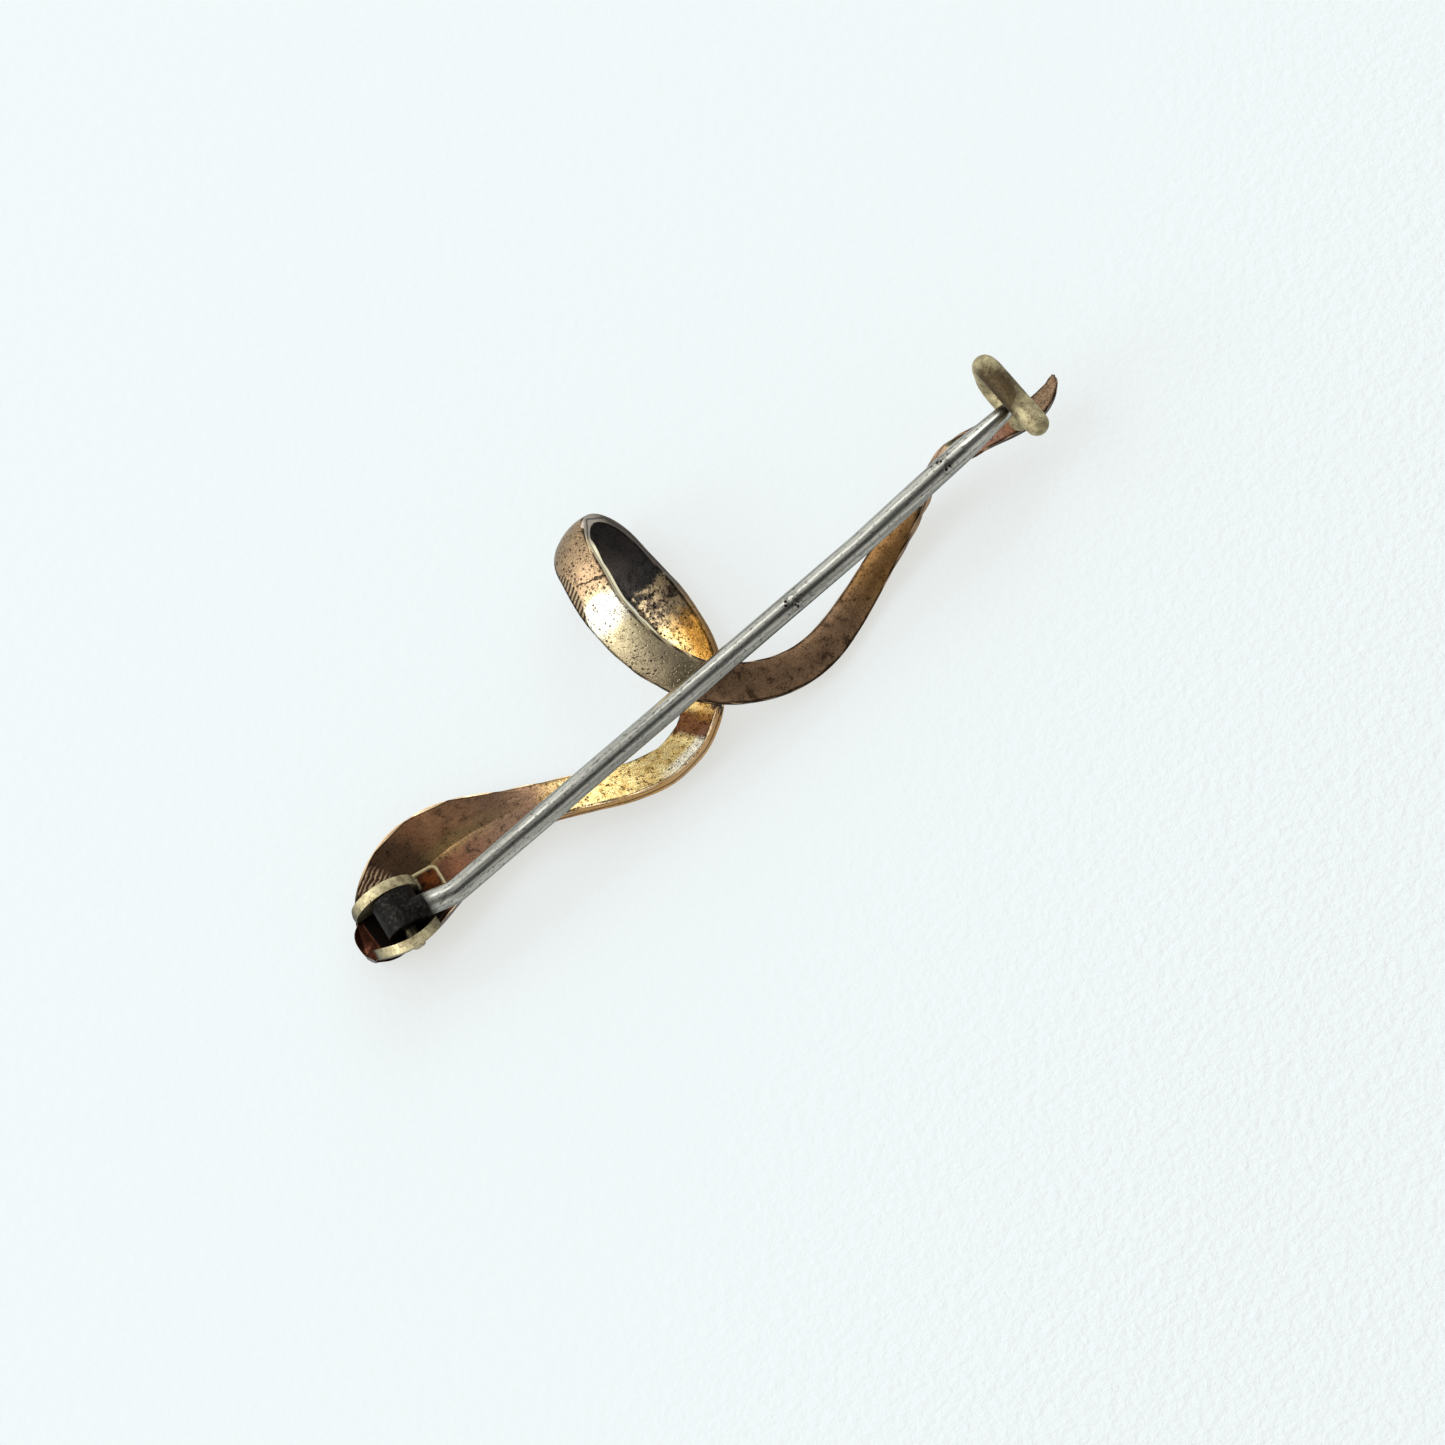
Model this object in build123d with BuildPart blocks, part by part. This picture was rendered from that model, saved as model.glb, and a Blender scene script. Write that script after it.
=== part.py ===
from build123d import *
from collections import namedtuple
import math
import os

# Driving dimensions, in millimetres

# The strip that is the snake: head, loop and tail
brooch_length = 38.4  # head tip to tail tip
loop_reach = 8.2  # straight strand's line to the loop's far end
loop_rise = 3.72  # table to the strip's middle at the top of the loop
head_width = 4.15
head_keel = 0.77  # how far the head's front stands out past its rims
head_hollow = 0.35  # valley along the head's back
strip_width = 2.0
strip_thickness = 0.45  # at the rims
strip_dome = 0.18  # how far the strip's front stands out past its rims

# The hinge bracket on the head's back
hinge_along = 0.053  # share of the length
hinge_side = 0.061  # share of the loop's reach
hinge_turn = -11.0  # degrees from the length to the cheeks
cheek_length = 2.92
cheek_behind = 0.565  # share of the cheek behind the rivet
cheek_thickness = 0.46
cheek_gap = 2.2  # between the cheeks' inner faces
cheek_bow = 0.32  # how far the lower cheek bulges out
cheek_lean = 0.58  # how far the lower cheek's top leans out past its foot
base_thickness = 0.42
base_length = 4.0
base_width = 2.95
foot_sink = 0.14  # how far the foot's underside lies under the head's rims
solder_depth = 0.14  # how far the catch's arm sits in the tail
solder_fill = 0.25  # under the foot, down into the valley of the head

# The pin: a wire, its taper and the barrel it turns on
pin_diameter = 1.0
pin_side = -0.029  # share of the loop's reach
pin_over_barrel = 0.65  # wire's middle above the barrel's
pin_root_bend = 1.6  # inner radius of the bend beside the barrel
pin_slack_bend = 12.0
pin_bend_along = 0.691  # share of the length
pin_tip_side = 0.010  # share of the loop's reach
pin_taper_length = 3.4
barrel_diameter = 1.9
barrel_left = 0.455  # end of the barrel, share of the gap between the cheeks
barrel_right = 0.258
barrel_clearance = 0.12  # under the barrel

# The rivet
rivet_diameter = 0.6
rivet_clearance = 0.05  # in the barrel, on the radius
rivet_seat_clearance = 0.01  # in the cheeks, on the radius
rivet_head_stand = 0.06

# The wire catch on the tail
catch_along = 0.9255  # share of the length
catch_wire = 1.05
catch_gap = 1.26  # between the hook's two arms
catch_bar = 3.6  # the free arm, middle of the bend to its end
catch_overhang = 0.34  # share of the free arm past the pin's line
catch_lean = 2.9  # degrees
catch_tuck = 0.4  # how far the lower bend sits back under the upper one
catch_bend = 0.66
catch_step = 0.25  # how far the lower arm lies past the free one, towards the tail's tip
pin_under_bar = 0.06  # gap between the pin and the bar that holds it

# The strip's sections, from the head's tip to the tail's. along and side are
# the middle's place as shares of the length and of the loop's reach, rise is
# its height as a share of the loop's, and roll is the turn of the strip about
# its own run, in degrees, 0 where its back faces up.
# width, keel and hollow are shares of the head's sizes.
HeadSection = namedtuple("HeadSection", "along side rise width roll keel hollow")
head_sections = [
    HeadSection(0.003, 0.052, 0.245, 0.108, 0, 0.25, 0.00),
    HeadSection(0.025, 0.095, 0.258, 0.542, 0, 0.60, 0.40),
    HeadSection(0.059, 0.161, 0.269, 0.892, 0, 0.92, 0.85),
    HeadSection(0.094, 0.217, 0.270, 1.000, 0, 1.00, 1.00),
    HeadSection(0.130, 0.241, 0.264, 0.976, 0, 0.94, 0.95),
    HeadSection(0.171, 0.226, 0.250, 0.831, 2, 0.74, 0.70),
    HeadSection(0.214, 0.178, 0.242, 0.554, 6, 0.46, 0.30),
]
# width and dome are shares of the strip's sizes.
StripSection = namedtuple("StripSection", "along side rise width roll dome")
neck_sections = [
    StripSection(0.253, 0.106, 0.237, 0.925, 13, 1.2),
    StripSection(0.292, 0.017, 0.226, 0.900, 20, 1.0),
    StripSection(0.336, -0.091, 0.214, 0.910, 24, 1.0),
    StripSection(0.380, -0.159, 0.207, 0.925, 28, 1.0),
    StripSection(0.424, -0.146, 0.202, 0.940, 33, 1.0),
]
loop_sections = [
    StripSection(0.460, -0.055, 0.205, 0.950, 36, 1.0),
    StripSection(0.484, 0.073, 0.205, 0.950, 38, 1.0),
    StripSection(0.498, 0.220, 0.208, 0.990, 37, 1.0),
    StripSection(0.504, 0.378, 0.213, 1.040, 34, 1.0),
    StripSection(0.507, 0.543, 0.226, 1.060, 34, 1.0),
    StripSection(0.507, 0.713, 0.250, 1.040, 38, 1.0),
    StripSection(0.506, 0.884, 0.345, 1.000, 45, 1.0),
    StripSection(0.494, 0.993, 0.536, 1.000, 68, 1.0),
    StripSection(0.475, 1.008, 0.757, 1.000, 109, 1.0),
    StripSection(0.457, 0.916, 0.902, 1.000, 137, 1.0),
    StripSection(0.446, 0.762, 0.998, 1.000, 146, 1.0),
    StripSection(0.438, 0.585, 0.995, 0.985, 144, 1.0),
    StripSection(0.438, 0.421, 0.927, 0.960, 146, 1.0),
    StripSection(0.443, 0.280, 0.818, 0.925, 150, 1.0),
    StripSection(0.453, 0.152, 0.709, 0.900, 156, 1.0),
    StripSection(0.466, 0.043, 0.613, 0.890, 162, 1.0),
    StripSection(0.485, -0.051, 0.535, 0.880, 165, 1.0),
]
tail_sections = [
    StripSection(0.508, -0.128, 0.445, 0.860, 166, 1.0),
    StripSection(0.536, -0.185, 0.330, 0.850, 166, 1.0),
    StripSection(0.572, -0.220, 0.212, 0.835, 165, 1.0),
    StripSection(0.609, -0.215, 0.141, 0.800, 164, 1.0),
    StripSection(0.648, -0.174, 0.110, 0.740, 165, 1.0),
    StripSection(0.685, -0.122, 0.125, 0.680, 168, 1.0),
    StripSection(0.719, -0.071, 0.177, 0.625, 174, 0.9),
    StripSection(0.749, -0.030, 0.237, 0.580, 182, 0.8),
    StripSection(0.776, 0.012, 0.301, 0.560, 194, 0.7),
    StripSection(0.801, 0.051, 0.376, 0.550, 216, 0.7),
    StripSection(0.823, 0.076, 0.452, 0.540, 258, 0.7),
    StripSection(0.845, 0.078, 0.511, 0.550, 305, 0.7),
    StripSection(0.868, 0.066, 0.543, 0.565, 338, 0.7),
    StripSection(0.895, 0.037, 0.559, 0.550, 353, 0.7),
    StripSection(0.922, 0.000, 0.565, 0.530, 360, 0.7),
    StripSection(0.949, -0.024, 0.565, 0.490, 360, 0.7),
    StripSection(0.973, -0.015, 0.565, 0.400, 360, 0.6),
    StripSection(0.990, 0.015, 0.565, 0.250, 360, 0.4),
    StripSection(0.998, 0.046, 0.565, 0.080, 360, 0.2),
]
sections = head_sections + neck_sections + loop_sections + tail_sections

# The outline's middle across the brooch, as a share of the loop's reach
middle_side = 0.36


def place(along, side, height):
    """A point of the brooch, its origin under the middle of its outline."""
    return Vector(
        (along - 0.5) * brooch_length, (side - middle_side) * loop_reach, height
    )


middles = [place(s.along, s.side, s.rise * loop_rise) for s in sections]


def run_direction(index):
    """The strip's direction at a section, from its neighbours on both sides."""
    if index == 0:
        return (middles[1] - middles[0]).normalized()
    if index == len(middles) - 1:
        return (middles[-1] - middles[-2]).normalized()
    before = middles[index] - middles[index - 1]
    after = middles[index + 1] - middles[index]
    return (
        before.normalized() * after.length + after.normalized() * before.length
    ).normalized()


def section_plane(index):
    """X runs from the strip's left rim to its right one, Y towards its front."""
    run = run_direction(index)
    level_right = run.cross(Vector(0, 0, 1)).normalized()
    rise = level_right.cross(run)
    roll = math.radians(sections[index].roll)
    across = level_right * math.cos(roll) + rise * math.sin(roll)
    return Plane(origin=middles[index], x_dir=across, z_dir=run)


def section_sizes(section):
    """Half the width, how far the front stands out, and the back's valley."""
    if isinstance(section, HeadSection):
        return (
            section.width * head_width / 2,
            section.keel * head_keel,
            section.hollow * head_hollow,
        )
    return section.width * strip_width / 2, section.dome * strip_dome, 0.0


def rise_at(rows, along):
    """Height of the strip's middle between two sections of a straight stretch."""
    for low, high in zip(rows, rows[1:]):
        if low.along <= along <= high.along:
            share = (along - low.along) / (high.along - low.along)
            return (low.rise + share * (high.rise - low.rise)) * loop_rise
    raise ValueError("no section there")


# The hinge's own frame: X along the cheeks towards the tail, Y along the rivet
half_rim = strip_thickness / 2
head_back = rise_at(head_sections, hinge_along) + half_rim
cheek_foot = head_back - foot_sink
base_top = cheek_foot + base_thickness
barrel_radius = barrel_diameter / 2
hinge_height = base_top + barrel_clearance + barrel_radius
hinge_middle = place(hinge_along, hinge_side, hinge_height)
cheek_run = Vector(1, 0, 0).rotate(Axis.Z, hinge_turn)
rivet_run = Vector(0, 1, 0).rotate(Axis.Z, hinge_turn)
cheek_top = hinge_height + 0.85 * barrel_radius
cheek_offset = (cheek_gap + cheek_thickness) / 2

# The catch's frame and the pin's line
catch_radius = catch_wire / 2
pin_radius = pin_diameter / 2
tail_back = rise_at(tail_sections[10:], catch_along) + half_rim
arm_height = tail_back + catch_radius - solder_depth
bar_height = arm_height + catch_wire + catch_gap
pin_at_catch = bar_height - catch_radius - pin_under_bar - 0.8 * pin_radius
pin_at_root = hinge_height + pin_over_barrel
pin_root_x = place(hinge_along, 0, 0).X + 2.2
catch_x = place(catch_along, 0, 0).X
pin_slope = (pin_at_catch - pin_at_root) / (catch_x - pin_root_x)
catch_turn = math.radians(catch_lean)
catch_run = Vector(math.sin(catch_turn), math.cos(catch_turn), 0)
catch_middle = place(catch_along, pin_side, 0)


def pin_point(x, side):
    """A point of the pin's middle line at a place along the brooch."""
    height = pin_at_root + pin_slope * (x - pin_root_x)
    return Vector(x, (side - middle_side) * loop_reach, height)


pin_bend_root = pin_point(pin_root_x, pin_side)
pin_start = hinge_middle + cheek_run * (0.2 * barrel_radius) + Vector(0, 0, 0.66 * pin_over_barrel)
pin_bend_slack = pin_point(place(pin_bend_along, 0, 0).X, pin_side)
pin_tip = pin_point(catch_x + 0.4 * catch_wire, pin_tip_side)
pin_tip_run = (pin_tip - pin_bend_slack).normalized()
pin_taper_start = pin_tip - pin_tip_run * pin_taper_length
pin_tip_level = pin_tip_run.cross(Vector(0, 0, 1)).normalized()
pin_radii = [pin_root_bend, pin_slack_bend]
pin_point_at_bar = Vector(catch_middle.X, catch_middle.Y, bar_height)
# The pin's taper: along is a share of its length, radius of the wire's.
TaperCorner = namedtuple("TaperCorner", "along radius")
pin_taper = [
    TaperCorner(0.00, 0.00),
    TaperCorner(0.00, 1.00),
    TaperCorner(0.72, 0.72),
    TaperCorner(0.90, 0.46),
    TaperCorner(0.98, 0.26),
    TaperCorner(1.00, 0.12),
    TaperCorner(1.00, 0.00),
    TaperCorner(0.00, 0.00),
]
hinge_plane = Plane(origin=hinge_middle, x_dir=cheek_run, z_dir=rivet_run)
rivet_left = cheek_gap / 2 + cheek_thickness + rivet_head_stand
rivet_right = rivet_left - cheek_lean * (cheek_top - hinge_height) / (cheek_top - cheek_foot)


# The foot's outline and the solder under it, in the hinge's frame: along and
# across are shares of the foot's length and width.
FootCorner = namedtuple("FootCorner", "along across")
foot_corners = [
    FootCorner(-0.33, -0.08),
    FootCorner(-0.20, -0.24),
    FootCorner(0.20, -0.24),
    FootCorner(0.46, -0.10),
    FootCorner(0.60, 0.18),
    FootCorner(0.60, 0.58),
    FootCorner(-0.28, 0.58),
    FootCorner(-0.36, 0.30),
]
solder_corners = [
    FootCorner(-0.28, -0.02),
    FootCorner(0.15, -0.14),
    FootCorner(0.47, 0.12),
    FootCorner(0.47, 0.47),
    FootCorner(-0.20, 0.47),
    FootCorner(-0.30, 0.30),
]


def foot_points(corners):
    return [(c.along * base_length, c.across * base_width) for c in corners]


def level_plane(height):
    """The hinge's frame as a level plane: X along the cheeks, Y along the rivet."""
    foot = Vector(hinge_middle.X, hinge_middle.Y, height)
    return Plane(origin=foot, x_dir=cheek_run, z_dir=(0, 0, 1))


def make_cheek(side, bow, lean):
    """One cheek, a bent plate with a round top, leaning out from its foot."""
    back = -cheek_behind * cheek_length
    front = back + cheek_length
    inner = side * (cheek_gap / 2 - lean)
    outer = side * (cheek_gap / 2 - lean + cheek_thickness)
    bulge = side * bow
    height = cheek_top - cheek_foot
    corner = 0.8 * (cheek_top - base_top)
    rise = rivet_run * (side * lean) + Vector(0, 0, height)
    with BuildPart() as cheek:
        with BuildSketch(level_plane(cheek_foot)):
            with BuildLine():
                ThreePointArc((back, inner - bulge), (0, inner), (front, inner - bulge))
                Line((front, inner - bulge), (front, outer - bulge))
                ThreePointArc((front, outer - bulge), (0, outer), (back, outer - bulge))
                Line((back, outer - bulge), (back, inner - bulge))
            make_face()
        extrude(amount=rise.length, dir=rise.normalized())
        with BuildSketch(Plane(origin=level_plane(cheek_foot).origin, x_dir=cheek_run, z_dir=-rivet_run)):
            with BuildLine():
                FilletPolyline((back, 0), (back, height), (front, height), (front, 0), radius=corner)
                Line((front, 0), (back, 0))
            make_face()
        extrude(amount=cheek_gap + cheek_length, both=True, mode=Mode.INTERSECT)
    return cheek.part


def make_strip():
    """The whole strip, lofted through its sections. Each section has a back with
    a valley, two rims and a domed front."""
    with BuildPart() as strip:
        for index, section in enumerate(sections):
            half, front, hollow = section_sizes(section)
            with BuildSketch(section_plane(index)):
                with BuildLine():
                    Line((-half, -half_rim), (0, hollow - half_rim))
                    Line((0, hollow - half_rim), (half, -half_rim))
                    Line((half, -half_rim), (half, half_rim))
                    ThreePointArc((half, half_rim), (0, half_rim + front), (-half, half_rim))
                    Line((-half, half_rim), (-half, -half_rim))
                make_face()
        loft()
    return strip.part


def make_catch():
    """The hook of round wire, its lower arm lying on the tail's back."""
    free_end = pin_point_at_bar - catch_run * (catch_overhang * catch_bar)
    bend = free_end + catch_run * catch_bar
    low_bend = Vector(bend.X + catch_step, bend.Y, arm_height) - catch_run * catch_tuck
    arm_end = Vector(catch_middle.X + catch_step, catch_middle.Y, arm_height)
    with BuildPart() as catch:
        with BuildLine() as wire:
            FilletPolyline(free_end, bend, low_bend, arm_end, radius=catch_bend)
        with BuildSketch(Plane(origin=free_end, z_dir=catch_run)):
            Circle(catch_radius)
        sweep(path=wire.wires()[0])
        with Locations(free_end, arm_end):
            Sphere(catch_radius)
    return catch.part


# The soldered body: the strip, the hinge bracket and the catch
strip = make_strip()
cheeks = [make_cheek(1, 0.25 * cheek_bow, 0), make_cheek(-1, cheek_bow, cheek_lean)]
catch = make_catch()
with BuildPart() as snake_body:
    add(strip)
    with BuildSketch(level_plane(cheek_foot)):
        with BuildLine():
            FilletPolyline(*foot_points(foot_corners), radius=0.07 * base_length, close=True)
        make_face()
    extrude(amount=base_thickness)
    with BuildSketch(level_plane(cheek_foot - solder_fill)):
        with BuildLine():
            Polyline(*foot_points(solder_corners), close=True)
        make_face()
    extrude(amount=solder_fill + 0.5 * base_thickness)
    add(cheeks)
    with BuildSketch(hinge_plane):
        Circle(rivet_diameter / 2 + rivet_seat_clearance)
    extrude(amount=2 * cheek_offset, both=True, mode=Mode.SUBTRACT)
    add(catch)
snake_body.part.label = "snake_body"

# The pin: its barrel and its wire are soldered into one
with BuildPart() as pin_stem:
    with BuildSketch(hinge_plane.offset(-barrel_right * cheek_gap)):
        Circle(barrel_radius)
    extrude(amount=(barrel_right + barrel_left) * cheek_gap)
    with BuildLine() as wire:
        FilletPolyline(pin_start, pin_bend_root, pin_bend_slack, pin_taper_start, radius=pin_radii)
    with BuildSketch(Plane(origin=pin_start, z_dir=pin_bend_root - pin_start)):
        Circle(pin_radius)
    sweep(path=wire.wires()[0])
    with BuildSketch(Plane(origin=pin_taper_start, x_dir=pin_tip_run, z_dir=pin_tip_level)):
        with BuildLine():
            Polyline(*[(t.along * pin_taper_length, t.radius * pin_radius) for t in pin_taper])
        make_face()
    revolve(axis=Axis(pin_taper_start, pin_tip_run))
    with BuildSketch(hinge_plane):
        Circle(rivet_diameter / 2 + rivet_clearance)
    extrude(amount=cheek_gap, both=True, mode=Mode.SUBTRACT)
pin_stem.part.label = "pin_stem"

# The rivet
with BuildPart() as hinge_rivet:
    with BuildSketch(hinge_plane.offset(-rivet_right)):
        Circle(rivet_diameter / 2)
    extrude(amount=rivet_right + rivet_left)
    chamfer(hinge_rivet.edges().filter_by(GeomType.CIRCLE), 0.8 * rivet_head_stand)
hinge_rivet.part.label = "hinge_rivet"

os.makedirs("parts", exist_ok=True)
export_step(snake_body.part, "parts/snake_body.step")
export_step(pin_stem.part, "parts/pin_stem.step")
export_step(hinge_rivet.part, "parts/hinge_rivet.step")
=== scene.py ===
import bpy
import numpy as np
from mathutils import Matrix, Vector


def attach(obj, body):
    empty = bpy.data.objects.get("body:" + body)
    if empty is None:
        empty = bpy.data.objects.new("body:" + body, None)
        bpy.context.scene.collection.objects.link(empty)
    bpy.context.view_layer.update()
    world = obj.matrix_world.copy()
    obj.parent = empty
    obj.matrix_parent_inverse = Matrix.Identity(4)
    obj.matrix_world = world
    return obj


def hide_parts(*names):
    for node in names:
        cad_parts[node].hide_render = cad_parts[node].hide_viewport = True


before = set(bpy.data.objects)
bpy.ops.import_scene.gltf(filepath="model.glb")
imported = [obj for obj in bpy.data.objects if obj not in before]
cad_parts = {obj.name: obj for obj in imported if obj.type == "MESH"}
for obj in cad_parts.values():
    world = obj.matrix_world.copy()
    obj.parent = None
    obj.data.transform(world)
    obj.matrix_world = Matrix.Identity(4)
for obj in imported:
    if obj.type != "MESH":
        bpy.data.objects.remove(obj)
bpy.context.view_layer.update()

MM = 0.001
PER_METRE = 1000.0
UP = (0, 0, 1)
DOWN = (0, 0, -1)
TO_THE_TAIL = (1, 0, 0)


def at(x, y, z):
    """A place given in millimetres, in the frame's metres."""
    return Vector((x, y, z)) * MM


def looking(place, aim):
    """The rotation of a camera or a light that stands at a place and looks at another."""
    return (aim - place).to_track_quat("-Z", "Y").to_euler()


# The camera looks steeply down on the brooch's back, from the picture's lower side
EYE = at(-48.93, -57.80, 220.74)
AIM = at(-1.631, -4.748, 2.0)
bpy.ops.object.select_all(action="DESELECT")
bpy.ops.object.camera_add(location=EYE, rotation=looking(EYE, AIM))
camera = bpy.context.object
camera.data.lens = 137.52
camera.data.sensor_width = 36.0
camera.data.clip_start = 0.01
camera.data.clip_end = 10.0
bpy.context.scene.camera = camera
bpy.context.scene.view_settings.view_transform = "Standard"

# Every colour of the metals, as its web code
COLOURS = {
    # the head and the neck
    # the last colour on the next line is painted shade at the head's tip
    "copper": "B4845E", "copper_worn": "92694A", "copper_dirty": "7A5236", "head_tip_shade": "6A4A36",
    "right_facet": "6A4430", "right_facet_dark": "4C3020", "crease": "94804E", "neck": "655040",
    "tip": "46241A", "soot": "30261D", "file_mark": "C8A888",
    # the first strand
    # the third colour on the next line is a painted highlight on the first strand
    "gold": "ECD698", "gold_dark": "D0AA62", "gleam_highlight": "FFF6DC", "stain": "5C2610",
    "amber": "D49C48", "amber_dark": "B8823A",
    # the loop
    "mottled": "86765C", "mottled_dark": "40362E", "blackened": "24211F", "rose": "8E7C72",
    # the last colour on the next line is a painted highlight on the loop's outer face
    "outer_tan": "9E8466", "outer_gold": "DCCAA0", "outer_grey": "A8967A", "outer_highlight": "FFF8E4",
    "engraved": "8E7A60",
    # the second strand and the tail
    # the last colour on the next line is painted shade at the tail's twist
    "bronze": "866A50", "bronze_dark": "664E3A", "bronze_warm": "8A6436", "twist_shade": "2A241E",
    # the first colour on the next line is a painted highlight beside the twist
    "cream_highlight": "E4DAB0", "pink": "C8967C", "tail": "8E745A",
    # the rims
    # the first colour on the next line is a painted highlight along the back's edge
    "lip_highlight": "E2C49C", "rim_of_head": "A87C58", "rim_of_first_strand": "B48A58", "far_rim": "8A6430",
    # the first colour on the next line is painted shade on the far rim
    # the fourth colour on the next line is a painted highlight on the near rim
    "far_rim_shade": "4C4036", "far_rim_end": "9A9084", "near_rim": "F4E8C4", "near_rim_deep": "B8A27C",
    "rim_of_second_strand": "A08468",
    # the bracket and the catch
    "solder": "AEA482", "solder_worn": "82765A", "solder_dirt": "443828", "catch_brown": "3E3020",
    # the first colour on the next line is painted shade on the plate
    # the last colour on the next line is a painted highlight on the plate's edge
    "plate_in_shade": "120E0B", "plate_amber": "6A3A1C", "plate_edge_highlight": "BCB08A",
    # the pin and the rivet
    "steel": "B4B2A8", "steel_dark": "84827A", "barrel": "141312", "barrel_worn": "262421",
    "rust": "241E18", "rivet": "B8AC84", "rivet_dark": "6E6046",
}


def linear(code):
    """A colour from its web code, as linear light."""
    parts = [int(code[i:i + 2], 16) / 255 for i in (0, 2, 4)]
    return tuple(c / 12.92 if c <= 0.04045 else ((c + 0.055) / 1.055) ** 2.4 for c in parts) + (1.0,)


def grey(level):
    return (level, level, level, 1.0)


class Reading:
    """One output of a node tree. Arithmetic on it adds Math nodes."""

    def __init__(self, tree, socket):
        self.tree = tree
        self.socket = socket

    def math(self, operation, *others):
        return self.tree.node("ShaderNodeMath", {"operation": operation}, *others)

    def __add__(self, other):
        return self.math("ADD", self, other)

    def __radd__(self, other):
        return self.math("ADD", other, self)

    def __sub__(self, other):
        return self.math("SUBTRACT", self, other)

    def __rsub__(self, other):
        return self.math("SUBTRACT", other, self)

    def __mul__(self, other):
        return self.math("MULTIPLY", self, other)

    def __rmul__(self, other):
        return self.math("MULTIPLY", other, self)

    def __truediv__(self, other):
        return self.math("DIVIDE", self, other)

    def __pow__(self, other):
        return self.math("POWER", self, other)

    def __abs__(self):
        return self.math("ABSOLUTE", self)

    def held(self):
        """The same value, kept between 0 and 1."""
        return self.tree.node("ShaderNodeClamp", {}, self)

    def above(self, level, softness):
        """0 well under the level, 1 well over it."""
        return ((self - level) * (1.0 / softness) + 0.5).held()

    def below(self, level, softness):
        """1 well under the level, 0 well over it."""
        return 1.0 - self.above(level, softness)

    def between(self, low, high, softness):
        """1 from a low level to a high one, falling off softly on both sides."""
        return self.above(low, softness) * self.below(high, softness)

    def line(self, half_width, softness):
        """1 on the line where the value is 0."""
        return abs(self).below(half_width, softness)

    def ruled(self, low, high, softness):
        """1 on evenly spaced lines, one to each step of 1 in the value."""
        return self.math("FRACT", self).between(low, high, softness)


class Tree:
    """A node tree, with one way to add a node to it."""

    def __init__(self, tree):
        self.tree = tree

    def put(self, socket, value):
        """Sets an input to another node's reading, a named colour or a plain value."""
        if isinstance(value, Reading):
            self.tree.links.new(value.socket, socket)
        elif isinstance(value, str):
            socket.default_value = linear(COLOURS[value])
        else:
            socket.default_value = value

    def node(self, kind, settings, *inputs, output=0, **named):
        """Adds a node with its settings and inputs, and gives one of its outputs."""
        made = self.tree.nodes.new(kind)
        for name, value in settings.items():
            setattr(made, name, value)
        for index, value in enumerate(inputs):
            self.put(made.inputs[index], value)
        for name, value in named.items():
            self.put(made.inputs[name.replace("_", " ")], value)
        return Reading(self, made.outputs[output])

    def mix(self, blend_type, factor, first, second):
        return self.node("ShaderNodeMixRGB", {"blend_type": blend_type}, factor, first, second)

    def ramp(self, place, *stops):
        """Grey levels along a reading, each level at its share of the way."""
        reading = self.node("ShaderNodeValToRGB", {}, place)
        elements = reading.socket.node.color_ramp.elements
        while len(elements) < len(stops):
            elements.new(0.5)
        for element, (share, level) in zip(elements, stops):
            element.position = share
            element.color = grey(level)
        return reading


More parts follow.
